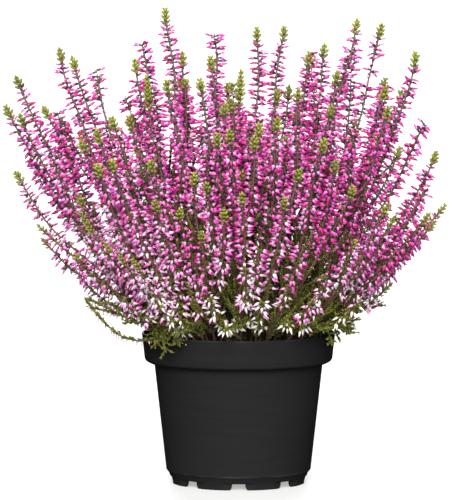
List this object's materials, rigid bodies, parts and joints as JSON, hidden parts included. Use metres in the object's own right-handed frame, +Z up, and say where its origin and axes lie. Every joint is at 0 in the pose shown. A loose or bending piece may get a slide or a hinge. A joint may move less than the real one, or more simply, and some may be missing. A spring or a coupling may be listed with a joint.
{
  "type": "potted heather",
  "caption": "Heather plant with upright spikes of small pink and white flowers, standing in peat in a plain round black nursery pot.",
  "frame": {"origin": "on the ground, under the centre of the whole plant's box; the pot's own axis stands 7.8 mm towards +X, because the plant reaches further to -X", "axes": "+Z up along the pot's axis, +X to the right in the front view, -Y towards the front"},
  "size_m": [0.275, 0.2592, 0.295],
  "materials": {
    "pot_plastic": "satin black injection-moulded polypropylene",
    "peat": "dull crumbly dark brown peat",
    "flower_spike": "matt petals, deep pink above to nearly white below, on thin brown stems with green tips",
    "foliage": "matt green scale leaves"
  },
  "bodies": {
    "root": {"pot": "pot_plastic", "peat": "peat", "stem_01": "flower_spike", "stem_02": "flower_spike", "stem_03": "flower_spike", "stem_04": "flower_spike", "stem_05": "flower_spike", "stem_06": "flower_spike", "stem_07": "flower_spike", "stem_08": "flower_spike", "stem_09": "flower_spike", "stem_10": "flower_spike", "stem_11": "flower_spike", "stem_12": "flower_spike", "stem_13": "flower_spike", "stem_14": "flower_spike", "stem_15": "flower_spike", "stem_16": "flower_spike", "stem_17": "flower_spike", "stem_18": "flower_spike", "stem_19": "flower_spike", "stem_20": "flower_spike", "stem_21": "flower_spike", "stem_22": "flower_spike", "stem_23": "flower_spike", "stem_24": "flower_spike", "stem_25": "flower_spike", "stem_26": "flower_spike", "stem_27": "flower_spike", "stem_28": "flower_spike", "stem_29": "flower_spike", "stem_30": "flower_spike", "stem_31": "flower_spike", "stem_32": "flower_spike", "stem_33": "flower_spike", "stem_34": "flower_spike", "stem_35": "flower_spike", "stem_36": "flower_spike", "stem_37": "flower_spike", "stem_38": "flower_spike", "stem_39": "flower_spike", "stem_40": "flower_spike", "stem_41": "flower_spike", "stem_42": "flower_spike", "stem_43": "flower_spike", "stem_44": "flower_spike", "stem_45": "flower_spike", "stem_46": "flower_spike", "spray_1": "foliage", "spray_2": "foliage", "spray_3": "foliage", "spray_4": "foliage", "spray_5": "foliage", "spray_6": "foliage", "spray_7": "foliage", "spray_8": "foliage"}
  },
  "joints": []
}
